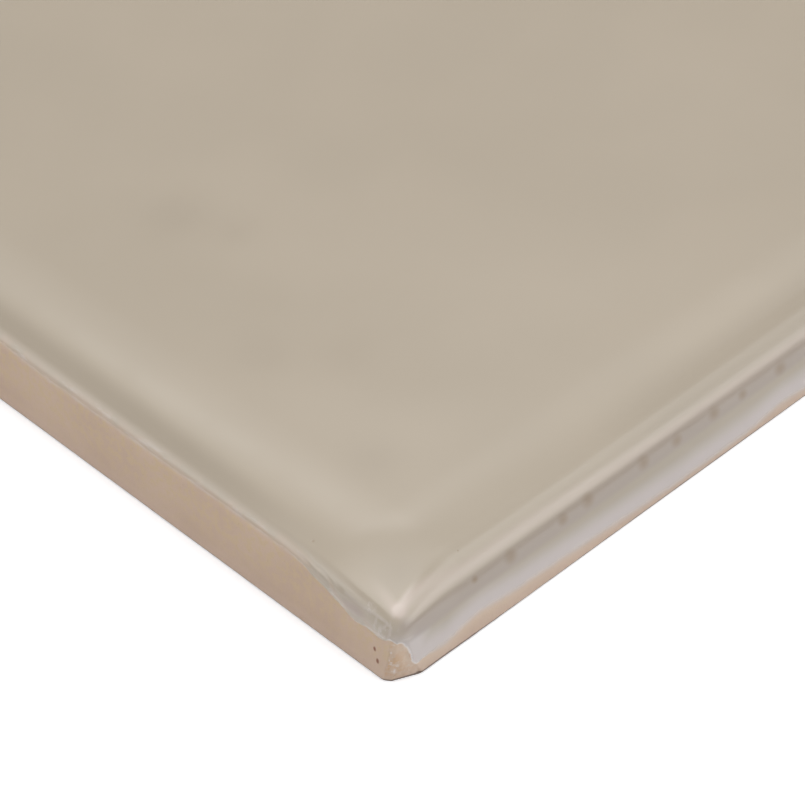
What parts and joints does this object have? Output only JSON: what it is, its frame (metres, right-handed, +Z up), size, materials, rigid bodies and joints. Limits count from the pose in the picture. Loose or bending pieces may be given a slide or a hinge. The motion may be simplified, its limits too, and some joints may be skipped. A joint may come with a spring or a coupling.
{
  "type": "glazed ceramic wall tile",
  "caption": "Long glossy taupe wall tile with a softly cushioned, wavy face, glazed rounded ends, bare clay sides, a chipped corner and a ribbed back.",
  "frame": {"origin": "middle of the back, on the plane of the ribs that the tile rests on", "axes": "+Z up, out of the glazed face; Y along the long sides; X along the short ends; the chipped corner is at -X, -Y"},
  "size_m": [0.1, 0.3, 0.0081],
  "materials": {
    "glazed_clay": "gloss"
  },
  "bodies": {
    "root": {"tile": "glazed_clay"}
  },
  "joints": []
}
